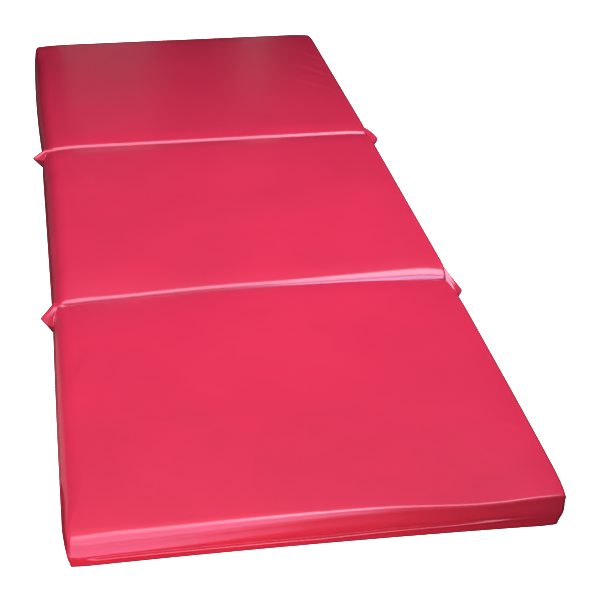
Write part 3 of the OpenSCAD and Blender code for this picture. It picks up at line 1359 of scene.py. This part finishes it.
def panels(vinyl: Material, seam: SeamLine) -> list[PadPanel]:
    """Describes the three panels with their own bows and creases.

    Args:
        vinyl: Finish of the cover.
        seam: The closing seam's line.

    Returns:
        The front, middle and rear panels.
    """
    left, right, front, rear = Side
    front_panel = PadPanel(
        name="front",
        body="front_panel",
        end_walls={front: ("front_end_wall", "front_closing_strip"), rear: ("front_fold_wall",)},
        finish=vinyl,
        seam=seam,
        bows={front: -5 * MM, left: 1 * MM},
        roll_drop={front: 1 * MM},
        edge_radius=on_sides(28, 5, 5, 6),
        edge_flare={
            (front, left): (13 * MM, -0.8),
            (left, front): (-20 * MM, 0.6),
            (left, rear): (-5 * MM, 0.6),
        },
        corner_tuck={(front, left): 4 * MM, (front, right): 11 * MM},
        corner_shift={
            (front, left): mm(2.5, 0),
            (rear, left): mm(-2.5, 0),
            (rear, right): mm(1.5, 0),
            (front, right): mm(0, 4),
        },
        creases=[
            Wrinkle((-0.244, -0.454), (-0.277, -0.571), 9 * MM, 0.8 * MM),
            Wrinkle((-0.203, -0.472), (-0.251, -0.647), 11 * MM, 0.8 * MM),
            Wrinkle((0.205, -0.811), (0.281, -0.766), 9 * MM, 0.45 * MM),
            Wrinkle((0.262, -0.730), (0.290, -0.760), 7 * MM, 0.4 * MM),
            Dip((0.29, -0.31), mm(90, 60), 6 * MM),
            Dip((-0.05, -0.93), mm(260, 160), 4 * MM),
            Dip((-0.23, -0.93), mm(120, 140), 4 * MM),
            Dip((0.195, -0.92), mm(85, 140), 7.5 * MM),
            Dip((-0.28, -0.31), mm(150, 70), 7 * MM),
        ],
    )
    middle_panel = PadPanel(
        name="middle",
        body="middle_panel",
        end_walls={front: ("middle_front_fold_wall",), rear: ("middle_rear_fold_wall",)},
        finish=vinyl,
        roll_drop={front: 3.5 * MM},
        edge_radius=on_sides(33, 5, 13, 6),
        edge_flare={
            (front, right): (16 * MM, 0.0),
            (left, front): (-6 * MM, 0.6),
            (left, rear): (-5 * MM, 0.6),
        },
        corner_shift={
            (front, left): mm(-2.5, 0),
            (rear, left): mm(-1.2, 0),
            (rear, right): mm(2, 0),
            (front, right): mm(4, 0),
        },
        creases=[
            Wrinkle((-0.281, 0.271), (-0.166, -0.008), 9 * MM, 0.9 * MM),
            Wrinkle((-0.275, 0.191), (-0.221, -0.099), 9 * MM, 0.7 * MM),
            Wrinkle((-0.291, -0.031), (-0.260, -0.074), 7 * MM, 0.6 * MM),
            Dip((-0.25, -0.29), mm(130, 60), 7 * MM),
        ],
    )
    rear_panel = PadPanel(
        name="rear",
        body="rear_panel",
        end_walls={front: ("rear_fold_wall",), rear: ("rear_end_wall",)},
        finish=vinyl,
        bows={left: 5 * MM},
        roll_drop={front: 3.5 * MM},
        edge_radius=on_sides(26, 5, 13, 8),
        edge_flare={(left, rear): (-16 * MM, 0.6)},
        corner_shift={
            (front, left): mm(-4.5, 0),
            (front, right): mm(2, 0),
            (rear, right): mm(-5, 0),
        },
        creases=[
            Wrinkle((0.258, 0.770), (0.300, 0.712), 6 * MM, 0.9 * MM),
            Wrinkle((0.245, 0.680), (0.290, 0.615), 7 * MM, 0.9 * MM),
            Wrinkle((0.222, 0.594), (0.285, 0.530), 8 * MM, 0.7 * MM),
        ],
    )
    return [front_panel, middle_panel, rear_panel]


def ear_shapes() -> tuple[dict[Side, EarShape], dict[Side, EarShape]]:
    """Describes the four ears, each with its tip, the start and corner of its ridge, and its foot.

    Returns:
        The ears of the near fold and those of the far fold.
    """
    near_ears = {
        Side.LEFT: EarShape(
            mm(18, -3, 18),
            mm(-20, 9, 39),
            mm(-2, 8, 38),
            mm(-2, -26, 2),
            near_flank=34 * MM,
            far_flank=26 * MM,
            slit=11 * MM,
            slit_place=0.6,
            hollow=-0.1,
        ),
        Side.RIGHT: EarShape(
            mm(24, 0, 13),
            mm(-3, 32, 45),
            mm(10, 8, 30),
            mm(-2, 0, 1),
            near_flank=28 * MM,
            far_flank=46 * MM,
            near_drop=16 * MM,
            blunt=4.0,
            slit=1 * MM,
            hollow=-0.15,
        ),
    }
    far_ears = {
        Side.LEFT: EarShape(
            mm(18, 0, 29.5),
            mm(-26, 10, 41),
            mm(-4, 9, 41),
            mm(-2, -4, 9),
            far_flank=24 * MM,
            hollow=-0.1,
        ),
        Side.RIGHT: EarShape(
            mm(19, 0, 31),
            mm(-5, 28, 46),
            mm(6, 14, 42),
            mm(-2, 0, 6),
            near_flank=24 * MM,
            far_flank=40 * MM,
            blunt=4.0,
            slit=1 * MM,
            hollow=-0.15,
        ),
    }
    return near_ears, far_ears


def main() -> None:
    """Builds the studio, the panels, the closing seam and the folds, and reports each piece."""
    logging.basicConfig(level=logging.INFO, format="%(message)s")
    studio = Studio()
    studio.build()
    vinyl = VinylFinish("red_vinyl", linear(211, 51, 78)).build()
    thread = ThreadFinish("seam_thread", linear(214, 84, 112)).build()
    seam = SeamLine()
    front, middle, rear = panels(vinyl, seam)
    pieces = [panel.dress() for panel in (front, middle, rear)]
    studio.limit(pieces[0])
    pieces.append(ClosingSeam(front, seam, thread).dress())
    near_ears, far_ears = ear_shapes()
    pieces += Fold("front_fold", front, middle, vinyl, thread, near_ears).dress()
    pieces += Fold("rear_fold", middle, rear, vinyl, thread, far_ears).dress()
    for piece in pieces:
        LOG.info("%s: %d faces", piece.name, len(piece.data.polygons))


if __name__ == "__main__":
    main()
